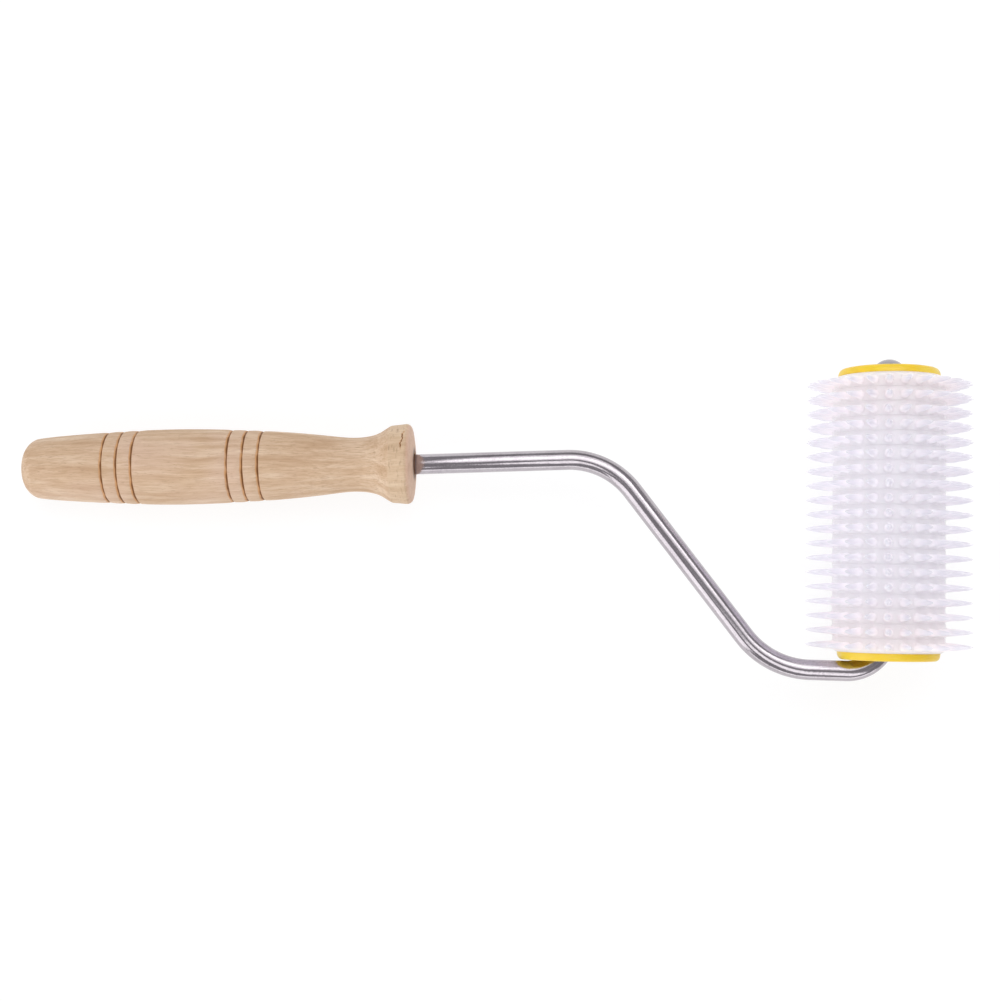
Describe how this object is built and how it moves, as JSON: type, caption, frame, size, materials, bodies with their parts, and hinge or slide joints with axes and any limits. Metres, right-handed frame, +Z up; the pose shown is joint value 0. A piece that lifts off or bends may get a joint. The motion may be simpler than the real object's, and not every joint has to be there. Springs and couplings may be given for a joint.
{
  "type": "needle roller",
  "caption": "Hand needle roller: a drum of spiked plastic discs spins on the end of a bent steel rod with a turned wooden handle.",
  "frame": {"origin": "middle of the bounding box in plan, on the table the tool lies on", "axes": "+X from the handle towards the drum, +Y along the drum axle towards the domed nut, +Z up"},
  "size_m": [0.3336, 0.1118, 0.0568],
  "materials": {
    "handle_wood": "bare turned",
    "rod_steel": "satin stainless",
    "washer_steel": "satin",
    "nut_chrome": "bright plated",
    "disc_plastic": "moulded, slightly translucent",
    "core_plastic": "matte",
    "cap_yellow": "moulded satin gloss"
  },
  "bodies": {
    "frame": {"wooden_handle": "handle_wood", "frame_rod": "rod_steel", "inner_washer": "washer_steel", "outer_washer": "washer_steel", "dome_nut": "nut_chrome"},
    "drum": {"needle_disc_01": "disc_plastic", "needle_disc_02": "disc_plastic", "needle_disc_03": "disc_plastic", "needle_disc_04": "disc_plastic", "needle_disc_05": "disc_plastic", "needle_disc_06": "disc_plastic", "needle_disc_07": "disc_plastic", "needle_disc_08": "disc_plastic", "needle_disc_09": "disc_plastic", "needle_disc_10": "disc_plastic", "needle_disc_11": "disc_plastic", "needle_disc_12": "disc_plastic", "needle_disc_13": "disc_plastic", "needle_disc_14": "disc_plastic", "needle_disc_15": "disc_plastic", "needle_disc_16": "disc_plastic", "needle_disc_17": "disc_plastic", "needle_disc_18": "disc_plastic", "needle_disc_19": "disc_plastic", "core_tube": "core_plastic", "inner_end_cap": "cap_yellow", "outer_end_cap": "cap_yellow"}
  },
  "joints": [
    {"name": "drum_spin", "type": "hinge", "parent": "frame", "child": "drum", "pos_m": [0.1384, 0.00194, 0.02839], "axis": [0, 1, 0], "continuous": true}
  ]
}
